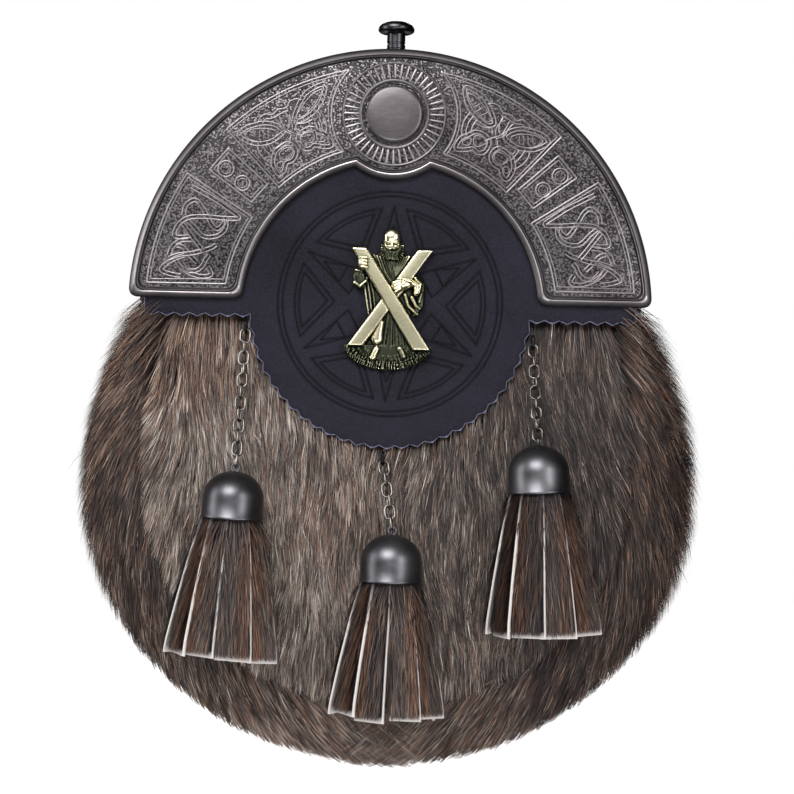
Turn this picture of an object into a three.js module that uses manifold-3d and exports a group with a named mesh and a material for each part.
// A full-dress sporran pouch: a fur pouch closed by a half-round metal cantle, with a black leather
// apron, a cast badge and three tassels on chains. Millimetres, +Z up, and the front faces -Y.
// The origin lies on the flat back, midway between the two loops that the waist strap runs through.

import * as THREE from "three";
import { mergeVertices } from "three/addons/utils/BufferGeometryUtils.js";
import Module from "manifold-3d";

const { lerp, smoothstep, degToRad } = THREE.MathUtils;
const UP = Math.PI / 2;
const wasm = await Module();
wasm.setup();

// ---- driving dimensions ----------------------------------------------------------------------

const GAP = 0.35; // between pieces that touch
const BASE_Z = -34; // straight lower ends of the cantle
const above = (height) => BASE_Z + height;

const CANTLE = {
  outerRadius: 89.3,
  innerRadius: 50.4,
  centreZ: above(-2.9),
  frontY: -36,
  plateBackY: -33.7,
  backY: -5.8,
  wall: 1.7,
  rimWidth: 2.5,
  rimHeight: 0.8,
  corner: 3.5,
};
const MEDALLION = { centreZ: above(64.1), edgeRadius: 22.4, ringRadius: 17.7, discRadius: 9.65 };
const ARCH = { outerRadius: 89.3, innerRadius: 84.5, frontY: -5.5 };
const KEEPER = { halfWidth: 6, frontY: -24, low: above(73.5), high: above(76), web: 2 };

const KNOB_Y = -18;
const PLUNGER_BORE = 3.5;
const TIP_BORE = 2.3;
const KNOB_ROWS = [
  { radius: 0, height: 72.5 },
  { radius: 2.0, height: 72.5 },
  { radius: 2.0, height: 76.35 },
  { radius: 4.3, height: 76.35 },
  { radius: 4.3, height: 78.8 },
  { radius: 3.25, height: 78.8 },
  { radius: 3.25, height: 94.6 },
  { radius: 5.6, height: 94.9 },
  { radius: 6.35, height: 95.7 },
  { radius: 6.3, height: 96.7 },
  { radius: 5.2, height: 98.1 },
  { radius: 3.0, height: 98.9 },
  { radius: 0, height: 99.2 },
];

// Outlines of the pouch seen from the front, from the cantle down one side and round the bottom.
// The width falls by shoulder from the widest level up to the cantle, and drop is the depth of the
// half ellipse below the widest level.
const TOP_Z = above(5);
const WIDEST_Z = above(-62.5);
const SIDE_SHARE = 0.24; // share of the way round that each straight side takes
const BACK_EDGE = { halfWidth: 94, drop: 88, shoulder: 10.8 };
const SIDE_EDGE = { halfWidth: 103.2, drop: 95.4, shoulder: 20 };
const SEAM_EDGE = { halfWidth: 81.5, drop: 71.5, shoulder: 7.7 };

const FUR = 4.5; // hide with its pile pressed flat
const BELLY = {
  flatY: -31.2,
  bulge: 11,
  edgeFall: 9,
  start: above(-8),
  end: above(-70),
};
const GUSSET = { sideY: -21, backY: -2 - GAP, sweep: degToRad(80) };
const LEATHER = 1.8;
const BACK_THICKNESS = 2;

const APRON = {
  lobeRadius: 48,
  lobeCentreZ: above(-1.4),
  wingHalfWidth: 84,
  wingZ: above(-5.6),
  topRadius: 54,
  tooth: 0.6,
  toothPitch: 5.2,
};

const LOOP = { x: 40, width: 14, foot: 22, bend: 15.5, rise: 7.3, thickness: 2 };

const LINK = { length: 5.9, width: 4.1, wire: 0.8, sides: 5, steps: 10 };
const ANCHOR = { length: 5.2, width: 3.8, wire: 1.1, sides: 5, steps: 10 };
const EYELET = { length: 3.6, width: 3.6, wire: 0.9, sides: 5, steps: 10 };
const EYELET_RISE = 1.1;
const HOOK_ANCHOR = 3.4; // centre of the anchor to centre of the first link
const HOOK_EYELET = 2.75; // centre of the last link to centre of the bell's eyelet
const LINK_TWIST = degToRad(14);

const BELL = { radius: 10.15, height: 15.8, dome: 9.2, wall: 1.1 };
const BELL_REST = 0.6; // between the bell and the fur that it rests on

// x and height of each chain's anchor and bell top, and how far the tassel leans sideways.
const TASSELS = [
  { side: "left", anchor: [-49, -9.3], bell: [-50, -58], links: 12, length: 47, lean: -3 },
  { side: "middle", anchor: [-1.2, -53], bell: [2.5, -77.7], links: 6, length: 45.3, lean: -0.6 },
  { side: "right", anchor: [49, -12.5], bell: [50.3, -47.2], links: 9, length: 47.5, lean: 2.8 },
];
// Half width of a tassel below its bell's rim, and its depth as a share of that width.
const TASSEL_ROWS = [
  { share: 0, halfWidth: 8.6, depth: 1 },
  { share: 0.1, halfWidth: 10.6, depth: 0.92 },
  { share: 0.35, halfWidth: 13.4, depth: 0.78 },
  { share: 0.65, halfWidth: 16.4, depth: 0.68 },
  { share: 0.92, halfWidth: 18.8, depth: 0.62 },
  { share: 1, halfWidth: 17.6, depth: 0.6 },
];

// ---- finishes --------------------------------------------------------------------------------

const finish = (color, roughness, metalness) =>
  new THREE.MeshStandardMaterial({ color, roughness, metalness });
const pewter = finish(0x8d888c, 0.42, 1);
const gunmetal = finish(0x4a484c, 0.25, 1);
const nickel = finish(0x8a8680, 0.3, 1);
const blackWire = finish(0x151416, 0.35, 0.6);
const brass = finish(0xcfc493, 0.35, 1);
const leather = finish(0x2b2b36, 0.7, 0);
const fur = finish(0x6f625b, 0.95, 0);

// ---- helpers ---------------------------------------------------------------------------------

// A closed geometry as a manifold-3d solid.
function solid(geometry) {
  const plain = geometry.clone();
  plain.deleteAttribute("normal");
  plain.deleteAttribute("uv");
  const merged = mergeVertices(plain, 1e-3);
  const triVerts = new Uint32Array(merged.index.array);
  const vertProperties = new Float32Array(merged.attributes.position.array);
  return new wasm.Manifold(new wasm.Mesh({ numProp: 3, vertProperties, triVerts }));
}

// A manifold-3d solid as a geometry.
function surface(body) {
  const mesh = body.getMesh();
  const geometry = new THREE.BufferGeometry();
  geometry.setAttribute("position", new THREE.BufferAttribute(mesh.vertProperties, 3));
  geometry.setIndex(new THREE.BufferAttribute(mesh.triVerts, 1));
  return geometry;
}

const join = (parts) => parts.map(solid).reduce((whole, part) => whole.add(part));

function named(name, geometry, material) {
  const mesh = new THREE.Mesh(geometry, material);
  mesh.name = name;
  return mesh;
}

// An outline drawn in X and Z, filled from backY forward to frontY.
function plate(shape, frontY, backY, curveSegments = 12) {
  const options = { depth: backY - frontY, bevelEnabled: false, curveSegments };
  return new THREE.ExtrudeGeometry(shape, options).rotateX(Math.PI / 2).translate(0, backY, 0);
}

// Points of an arc in X and Z about a centre on the middle line.
function arc(centreZ, radius, from, to, steps) {
  return Array.from({ length: steps + 1 }, (_, i) => {
    const angle = lerp(from, to, i / steps);
    return new THREE.Vector2(radius * Math.cos(angle), centreZ + radius * Math.sin(angle));
  });
}

// A profile of radius and height turned about the Z axis.
function turned(rows, segments) {
  const points = rows.map(({ radius, height }) => new THREE.Vector2(radius, height));
  return new THREE.LatheGeometry(points, segments).rotateX(Math.PI / 2);
}

// A box bent into a wall: place(u, v, w) gives the point at u and v along the wall, each 0 to 1,
// with w 0 on its outer face and 1 on its inner face.
function bentWall(columns, rows, place) {
  const box = new THREE.BoxGeometry(1, 1, 1, columns, rows, 1);
  const position = box.attributes.position;
  for (let i = 0; i < position.count; i += 1) {
    const [u, v, w] = [position.getX(i), position.getY(i), position.getZ(i)].map((c) => c + 0.5);
    position.setXYZ(i, ...place(u, v, 1 - w));
  }
  return box;
}

// A round wire bent into a ring with straight sides, long along Z and flat in the XZ plane.
function wireRing({ length, width, wire, sides, steps }) {
  const bend = (width - wire) / 2;
  const stretch = (length - width) / 2;
  const ring = new THREE.TorusGeometry(bend, wire / 2, sides, steps);
  ring.rotateZ(Math.PI / steps);
  const position = ring.attributes.position;
  for (let i = 0; i < position.count; i += 1) {
    const y = position.getY(i);
    position.setY(i, y + Math.sign(y) * stretch);
  }
  return ring.rotateX(Math.PI / 2);
}

// ---- form of the pouch -----------------------------------------------------------------------

function halfWidthAt({ halfWidth, drop, shoulder }, z) {
  const rise = (z - WIDEST_Z) / (BASE_Z - WIDEST_Z);
  if (rise >= 0) return halfWidth - shoulder * Math.min(rise, 1) ** 2;
  return halfWidth * Math.sqrt(Math.max(0, 1 - ((z - WIDEST_Z) / drop) ** 2));
}

// A point of an outline, from the top left (along 0) round the bottom to the top right (along 1).
function outlinePoint(outline, along) {
  const side = along < 0.5 ? -1 : 1;
  const fromTop = Math.min(along, 1 - along) / SIDE_SHARE;
  if (fromTop < 1) {
    const z = lerp(TOP_Z, WIDEST_Z, fromTop);
    return { x: side * halfWidthAt(outline, z), z };
  }
  const angle = (Math.PI * (along - SIDE_SHARE)) / (1 - 2 * SIDE_SHARE);
  const x = -outline.halfWidth * Math.cos(angle);
  return { x, z: WIDEST_Z - outline.drop * Math.sin(angle) };
}

const inset = ({ halfWidth, drop, shoulder }, by) => ({
  halfWidth: halfWidth - by,
  drop: drop - by,
  shoulder,
});

// How far out a point is, from 0 in the middle of the front to 1 at its seam.
function reach(x, z) {
  if (z >= WIDEST_Z) return Math.min(1, Math.abs(x) / halfWidthAt(SEAM_EDGE, z));
  const across = x / SEAM_EDGE.halfWidth;
  return Math.min(1, Math.hypot(across, (z - WIDEST_Z) / SEAM_EDGE.drop));
}

// Depth of the fur front: flat behind the cantle, full in the belly, and lower at its seam.
function frontY(x, z) {
  const full = 1 - smoothstep(z, BELLY.end, BELLY.start);
  return BELLY.flatY - full * (BELLY.bulge - BELLY.edgeFall * reach(x, z) ** 4);
}

function outlineShape(outline, steps) {
  const points = Array.from({ length: steps + 1 }, (_, i) => {
    const { x, z } = outlinePoint(outline, i / steps);
    return new THREE.Vector2(x, z);
  });
  return new THREE.Shape(points);
}

// A wall that follows the front of the pouch, from offset in front of the fur.
function frontWall({ halfWidth, low, high, offset, thickness, cell }) {
  const columns = Math.round((2 * halfWidth) / cell);
  const rows = Math.round((high - low) / cell);
  return bentWall(columns, rows, (u, v, w) => {
    const x = lerp(-halfWidth, halfWidth, u);
    const z = lerp(low, high, v);
    return [x, frontY(x, z) - offset + w * thickness, z];
  });
}

// ---- fur walls and leather back --------------------------------------------------------------

function frontPanel() {
  const { halfWidth, drop } = SEAM_EDGE;
  const low = WIDEST_Z - drop - 1;
  const span = { halfWidth: halfWidth + 1, low, high: TOP_Z, offset: 0, thickness: FUR, cell: 10 };
  const outline = plate(outlineShape(inset(SEAM_EDGE, GAP), 56), -60, 0);
  return surface(solid(frontWall(span)).intersect(solid(outline)));
}

// The gusset's section sweeps forward from the back edge, out to the side and in to the seam.
function gussetPoint(along, across, thickness) {
  const back = outlinePoint(inset(BACK_EDGE, thickness), along);
  const side = outlinePoint(inset(SIDE_EDGE, thickness), along);
  const seam = outlinePoint(SEAM_EDGE, along);
  const angle = (2 * across - 1) * GUSSET.sweep;
  const inward = (1 - Math.cos(angle)) / (1 - Math.cos(GUSSET.sweep));
  const forward = Math.abs(Math.sin(angle)) / Math.sin(GUSSET.sweep);
  const edge = across < 0.5 ? back : seam;
  const edgeY = across < 0.5 ? GUSSET.backY : frontY(seam.x, seam.z) + thickness;
  return [
    lerp(side.x, edge.x, inward),
    lerp(GUSSET.sideY, edgeY, forward),
    lerp(side.z, edge.z, inward),
  ];
}

function gusset() {
  return bentWall(44, 10, (u, v, w) => gussetPoint(u, v, w * FUR));
}

// The leather back fills the arch above and stands under the gusset's edge below.
function backPanel() {
  const edge = { halfWidth: BACK_EDGE.halfWidth + 1, drop: BACK_EDGE.drop + 1, shoulder: 11.1 };
  const radius = ARCH.innerRadius - GAP;
  const start = Math.asin((BASE_Z - CANTLE.centreZ) / radius);
  const below = Array.from({ length: 45 }, (_, i) => {
    const { x, z } = outlinePoint(edge, lerp(0.06, 0.94, i / 44));
    return new THREE.Vector2(x, z);
  });
  const shape = new THREE.Shape([
    ...arc(CANTLE.centreZ, radius, start, Math.PI - start, 32),
    ...below,
  ]);
  return plate(shape, -BACK_THICKNESS, 0);
}

// ---- apron -----------------------------------------------------------------------------------

// Points along a pinked edge: teeth stand out from the line that place(t) draws for t 0 to 1.
function pinked(length, place) {
  const teeth = Math.round(length / APRON.toothPitch);
  return Array.from({ length: 2 * teeth + 1 }, (_, i) => {
    const out = i % 2 ? APRON.tooth : -APRON.tooth;
    return place(i / (2 * teeth), out);
  });
}

function apronShape() {
  const { lobeRadius, lobeCentreZ, wingHalfWidth, wingZ, topRadius } = APRON;
  const dip = Math.asin((lobeCentreZ - wingZ) / lobeRadius) + degToRad(1.5);
  const meet = lobeRadius * Math.cos(dip);
  const wing = (side) =>
    pinked(wingHalfWidth - meet, (t, out) => {
      const x = side < 0 ? lerp(-wingHalfWidth, -meet, t) : lerp(meet, wingHalfWidth, t);
      return new THREE.Vector2(x, wingZ - out);
    });
  const lobe = pinked(lobeRadius * (Math.PI - 2 * dip), (t, out) => {
    const angle = lerp(Math.PI + dip, 2 * Math.PI - dip, t);
    const radius = lobeRadius + out;
    return new THREE.Vector2(radius * Math.cos(angle), lobeCentreZ + radius * Math.sin(angle));
  });
  const start = Math.asin((TOP_Z - CANTLE.centreZ) / topRadius);
  return new THREE.Shape([
    ...wing(-1),
    ...lobe.slice(1, -1),
    ...wing(1),
    new THREE.Vector2(wingHalfWidth, TOP_Z),
    ...arc(CANTLE.centreZ, topRadius, start, Math.PI - start, 16),
    new THREE.Vector2(-wingHalfWidth, TOP_Z),
  ]);
}

function apron() {
  const low = APRON.lobeCentreZ - APRON.lobeRadius - 2;
  const high = CANTLE.centreZ + APRON.topRadius + 2;
  const offset = GAP + LEATHER;
  const span = { halfWidth: 85, low, high, offset, thickness: LEATHER, cell: 10 };
  return surface(solid(frontWall(span)).intersect(solid(plate(apronShape(), -60, 0))));
}

// ---- cantle, back frame and knob -------------------------------------------------------------

// The cantle's outline, drawn in by a margin: an arch with rounded feet and a medallion's bulge.
function cantleShape(margin) {
  const { outerRadius, innerRadius, centreZ, corner } = CANTLE;
  const outer = outerRadius - margin;
  const inner = innerRadius + margin;
  const bulge = MEDALLION.edgeRadius - margin;
  const foot = BASE_Z + margin;
  const rise = foot + corner - centreZ;
  const outerStart = Math.asin(rise / outer);
  const innerStart = Math.asin(rise / inner);
  const apart = MEDALLION.centreZ - centreZ;
  const meet = (apart ** 2 + inner ** 2 - bulge ** 2) / (2 * apart);
  const innerMeet = Math.acos(meet / inner);
  const bulgeMeet = Math.acos((apart - meet) / bulge);
  const right = [
    ...arc(centreZ, outer, UP, outerStart, 18),
    ...roundedFoot(outer, foot, -corner).slice(1),
    ...roundedFoot(inner, foot, corner).reverse().slice(0, -1),
    ...arc(centreZ, inner, innerStart, UP - innerMeet, 12),
    ...arc(MEDALLION.centreZ, bulge, bulgeMeet - UP, -UP, 5).slice(1),
  ];
  const left = right.slice(1, -1).map(({ x, y }) => new THREE.Vector2(-x, y));
  return new THREE.Shape([...right, ...left.reverse()]);
}

// The rounded corner where an arc of the cantle meets its straight foot, reaching inward along it.
function roundedFoot(radius, foot, inward) {
  const rise = foot + CANTLE.corner - CANTLE.centreZ;
  const side = new THREE.Vector2(Math.sqrt(radius ** 2 - rise ** 2), foot + CANTLE.corner);
  const tip = new THREE.Vector2(Math.sqrt(radius ** 2 - (foot - CANTLE.centreZ) ** 2), foot);
  const end = new THREE.Vector2(tip.x + inward, foot);
  return new THREE.QuadraticBezierCurve(side, tip, end).getPoints(4);
}

// A half ring about the cantle's centre, cut level at cutZ.
function archShape(outer, inner, cutZ) {
  const rise = cutZ - CANTLE.centreZ;
  const outerStart = Math.asin(rise / outer);
  const innerStart = Math.asin(rise / inner);
  return new THREE.Shape([
    ...arc(CANTLE.centreZ, outer, outerStart, Math.PI - outerStart, 36),
    ...arc(CANTLE.centreZ, inner, Math.PI - innerStart, innerStart, 36),
  ]);
}

// A round boss that stands on the cantle's face.
function boss(radius, front, segments) {
  const back = CANTLE.plateBackY - 0.7;
  const disc = new THREE.CylinderGeometry(radius, radius, back - front, segments);
  return disc.translate(0, (back + front) / 2, 0).translate(0, 0, MEDALLION.centreZ);
}

function cantle() {
  const { outerRadius, frontY: front, plateBackY, backY, wall, rimWidth, rimHeight } = CANTLE;
  const faceY = front + rimHeight;
  const whole = plate(cantleShape(0), front, plateBackY);
  const field = plate(cantleShape(rimWidth), front - 1, faceY);
  const wallShape = archShape(outerRadius, outerRadius - wall, BASE_Z + CANTLE.corner);
  const side = plate(wallShape, faceY + 0.7, backY);
  const medallionRing = boss(MEDALLION.ringRadius, faceY - 0.5, 32);
  const medallionDisc = boss(MEDALLION.discRadius, front - 0.2, 24);
  const bore = new THREE.CylinderGeometry(PLUNGER_BORE, PLUNGER_BORE, 10, 24);
  bore.rotateX(Math.PI / 2).translate(0, KNOB_Y, CANTLE.centreZ + outerRadius - wall);
  const framed = solid(whole).subtract(solid(field));
  const body = framed.add(join([side, medallionRing, medallionDisc]));
  return surface(body.subtract(solid(bore)));
}

function block(x, [frontY, backY], [low, high]) {
  const box = new THREE.BoxGeometry(2 * x, backY - frontY, high - low);
  return box.translate(0, (frontY + backY) / 2, (low + high) / 2);
}

function backFrame() {
  const { outerRadius, innerRadius, frontY: front } = ARCH;
  const { halfWidth, frontY: reachY, low, high, web } = KEEPER;
  const arch = plate(archShape(outerRadius, innerRadius, BASE_Z), front, 0);
  const shelf = block(halfWidth, [reachY, front + web], [low, high]);
  const hanger = block(halfWidth, [front, front + web], [low, CANTLE.centreZ + innerRadius + 1]);
  const hole = new THREE.CylinderGeometry(TIP_BORE, TIP_BORE, 10, 20);
  hole.rotateX(Math.PI / 2).translate(0, KNOB_Y, (low + high) / 2);
  return surface(join([arch, shelf, hanger]).subtract(solid(hole)));
}

function knob() {
  const rows = KNOB_ROWS.map(({ radius, height }) => ({ radius, height: above(height) }));
  return turned(rows, 24).translate(0, KNOB_Y, 0);
}

// ---- badge -----------------------------------------------------------------------------------

// Bars of the cross from their upper to their lower ends, the left-leaning one in front.
const BADGE = { x: -0.2, z: above(0.5), backY: -0.9, tilt: degToRad(-2.2) };
const CROSS_BARS = [
  { top: [12, 17.4], bottom: [-11.6, -15.8], topWidth: 5.6, bottomWidth: 5.5, front: -3.4 },
  { top: [-10.6, 17.8], bottom: [11.3, -17], topWidth: 4.3, bottomWidth: 6.1, front: -4 },
];
// Rounded masses of the figure behind the cross: centre, half sizes and how far they stand out.
const FIGURE_MASSES = [
  { x: 0.5, z: 19.8, halfWidth: 3.6, halfHeight: 4.4, rise: 4.4 },
  { x: 0.2, z: 9.6, halfWidth: 7.6, halfHeight: 7.2, rise: 2.6 },
  { x: -9.6, z: 8.6, halfWidth: 2.4, halfHeight: 6, rise: 3.4 },
  { x: -9.2, z: 13, halfWidth: 1.7, halfHeight: 2.3, rise: 4.8 },
  { x: 8.6, z: 2, halfWidth: 2.9, halfHeight: 6.2, rise: 3.2 },
  { x: 4.2, z: 5, halfWidth: 4, halfHeight: 1.9, rise: 5 },
];

function crossBar({ top, bottom, topWidth, bottomWidth, front }) {
  const shape = new THREE.Shape();
  shape.moveTo(top[0] - topWidth / 2, top[1]);
  shape.lineTo(top[0] + topWidth / 2, top[1]);
  shape.lineTo(bottom[0] + bottomWidth / 2, bottom[1]);
  shape.lineTo(bottom[0] - bottomWidth / 2, bottom[1]);
  return plate(shape, front, BADGE.backY);
}

function robe() {
  const shape = new THREE.Shape();
  shape.moveTo(-5.8, 15.5);
  shape.lineTo(6, 15.5);
  shape.lineTo(7.6, 3);
  shape.lineTo(7.2, -17.5);
  shape.lineTo(-7.2, -17.5);
  shape.lineTo(-7, 0);
  return plate(shape, -2.6, BADGE.backY);
}

function mound() {
  const shape = new THREE.Shape();
  shape.absellipse(-0.4, -15.9, 15, 8, 0, Math.PI, true);
  shape.lineTo(-15.4, -15.9);
  return plate(shape, -2.9, BADGE.backY, 10);
}

function mass({ x, z, halfWidth, halfHeight, rise }) {
  const ball = new THREE.SphereGeometry(1, 12, 8).scale(halfWidth, rise, halfHeight);
  return ball.translate(x, BADGE.backY, z);
}

function badge() {
  const parts = [robe(), mound(), ...CROSS_BARS.map(crossBar), ...FIGURE_MASSES.map(mass)];
  const behind = new THREE.BoxGeometry(60, 20, 80).translate(0, BADGE.backY + 10, 0);
  return surface(join(parts).subtract(solid(behind)));
}

// ---- strap loops -----------------------------------------------------------------------------

// A leather strip stitched down at its two ends, standing off the back in between.
function strapLoop() {
  const { width, foot, bend, rise, thickness } = LOOP;
  const low = GAP;
  const inner = rise - thickness;
  const shape = new THREE.Shape();
  shape.moveTo(low, -foot);
  shape.lineTo(low + thickness, -foot);
  shape.lineTo(low + thickness, -bend);
  shape.quadraticCurveTo(rise, -bend + 0.5, rise, -bend + 5);
  shape.lineTo(rise, bend - 5);
  shape.quadraticCurveTo(rise, bend - 0.5, low + thickness, bend);
  shape.lineTo(low + thickness, foot);
  shape.lineTo(low, foot);
  shape.lineTo(low, bend - thickness);
  shape.quadraticCurveTo(inner, bend - thickness, inner, bend - 6);
  shape.lineTo(inner, -bend + 6);
  shape.quadraticCurveTo(inner, -bend + thickness, low, -bend + thickness);
  const axes = [[0, 1, 0], [0, 0, 1], [1, 0, 0]].map((a) => new THREE.Vector3(...a));
  const options = { depth: width, bevelEnabled: false, curveSegments: 5 };
  const strip = new THREE.ExtrudeGeometry(shape, options).translate(0, 0, -width / 2);
  return strip.applyMatrix4(new THREE.Matrix4().makeBasis(...axes));
}

// ---- chains, bells and tassels ---------------------------------------------------------------

// Bell: outside from the rim up over the dome, then down the inside, open below.
function bell(eyeletTurn) {
  const { radius, height, dome, wall } = BELL;
  const arc = (r, h, top, [from, to]) =>
    Array.from({ length: 6 }, (_, i) => {
      const angle = lerp(from, to, i / 5);
      return { radius: r * Math.cos(angle), height: top - h + h * Math.sin(angle) };
    });
  const inner = radius - wall;
  const rows = [
    ...arc(inner, dome - wall, -wall, [Math.PI / 2, 0]),
    { radius: inner, height: -height },
    { radius: radius + 0.25, height: -height },
    { radius: radius + 0.25, height: -height + 1.2 },
    ...arc(radius, dome, 0, [0, Math.PI / 2]),
  ];
  rows[0].radius = 0;
  rows[rows.length - 1].radius = 0;
  const eyelet = wireRing(EYELET).rotateZ(eyeletTurn).translate(0, 0, EYELET_RISE);
  return surface(join([turned(rows, 20), eyelet]));
}

function tassel(length) {
  const rim = -BELL.height;
  const rows = [
    { radius: 0, height: rim - 0.96 * length },
    ...TASSEL_ROWS.map(({ share, halfWidth }) => {
      return { radius: halfWidth, height: rim - share * length };
    }).reverse(),
    { radius: 8.2, height: rim + 5 },
    { radius: 7, height: rim + 7.5 },
    { radius: 0, height: rim + 8 },
  ];
  const body = turned(rows, 18);
  const shares = TASSEL_ROWS.map((row) => row.share);
  const position = body.attributes.position;
  for (let i = 0; i < position.count; i += 1) {
    const share = (rim - position.getZ(i)) / length;
    const row = TASSEL_ROWS.findLast((_, at) => shares[at] <= share + 1e-3) ?? TASSEL_ROWS[0];
    position.setY(i, position.getY(i) * row.depth);
  }
  return body;
}

// Chain from the anchor to the bell's eyelet, each link turned a quarter from the one before.
function chain(side, count, from, to) {
  const along = to.clone().sub(from).normalize();
  const first = from.clone().addScaledVector(along, HOOK_ANCHOR);
  const last = to.clone().addScaledVector(along, -HOOK_EYELET);
  const long = along.clone().negate();
  const flat = new THREE.Vector3(0, 1, 0).addScaledVector(long, -long.y).normalize();
  const across = new THREE.Vector3().crossVectors(flat, long);
  const basis = new THREE.Matrix4().makeBasis(across, flat, long);
  return Array.from({ length: count }, (_, i) => {
    const number = String(i + 1).padStart(2, "0");
    const link = named(`${side}_link_${number}`, wireRing(LINK), nickel);
    link.position.lerpVectors(first, last, i / (count - 1));
    link.quaternion.setFromRotationMatrix(basis);
    link.rotateZ((i * Math.PI) / 2 + LINK_TWIST * Math.sin(2.3 * i + 1));
    return link;
  });
}

function hungTassel({ side, anchor, bell: bellTop, links, length, lean }) {
  const anchorZ = above(anchor[1]);
  const anchorY = frontY(anchor[0], anchorZ) - GAP - ANCHOR.width / 2;
  const ring = named(`chain_anchor_${side}`, wireRing(ANCHOR), blackWire);
  ring.position.set(anchor[0], anchorY, anchorZ);
  ring.rotateZ(Math.PI / 2);

  const topZ = above(bellTop[1]);
  const restY = frontY(bellTop[0], topZ - BELL.height) - BELL_REST - BELL.radius;
  const hung = new THREE.Group();
  hung.position.set(bellTop[0], restY, topZ);
  hung.rotation.y = degToRad(-lean);
  hung.add(named(`${side}_bell`, bell(links % 2 ? Math.PI / 2 : 0), gunmetal));
  hung.add(named(`${side}_tassel`, tassel(length), fur));
  hung.updateMatrix();

  const eyelet = new THREE.Vector3(0, 0, EYELET_RISE).applyMatrix4(hung.matrix);
  return [ring, hung, ...chain(side, links, ring.position, eyelet)];
}

// ---- assembly --------------------------------------------------------------------------------

const sporran = new THREE.Group();
sporran.add(
  named("cantle", cantle(), pewter),
  named("back_frame", backFrame(), pewter),
  named("knob", knob(), gunmetal),
  named("apron", apron(), leather),
  named("front_panel", frontPanel(), fur),
  named("gusset", gusset(), fur),
  named("back_panel", backPanel(), leather),
);

const badgeMesh = named("badge", badge(), brass);
badgeMesh.position.set(BADGE.x, BELLY.flatY - GAP - LEATHER - 0.4, BADGE.z);
badgeMesh.rotation.x = BADGE.tilt;
sporran.add(badgeMesh);

for (const [name, x] of [["strap_loop_left", -LOOP.x], ["strap_loop_right", LOOP.x]]) {
  const loop = named(name, strapLoop(), leather);
  loop.position.x = x;
  sporran.add(loop);
}

TASSELS.forEach((row) => sporran.add(...hungTassel(row)));

export default sporran;
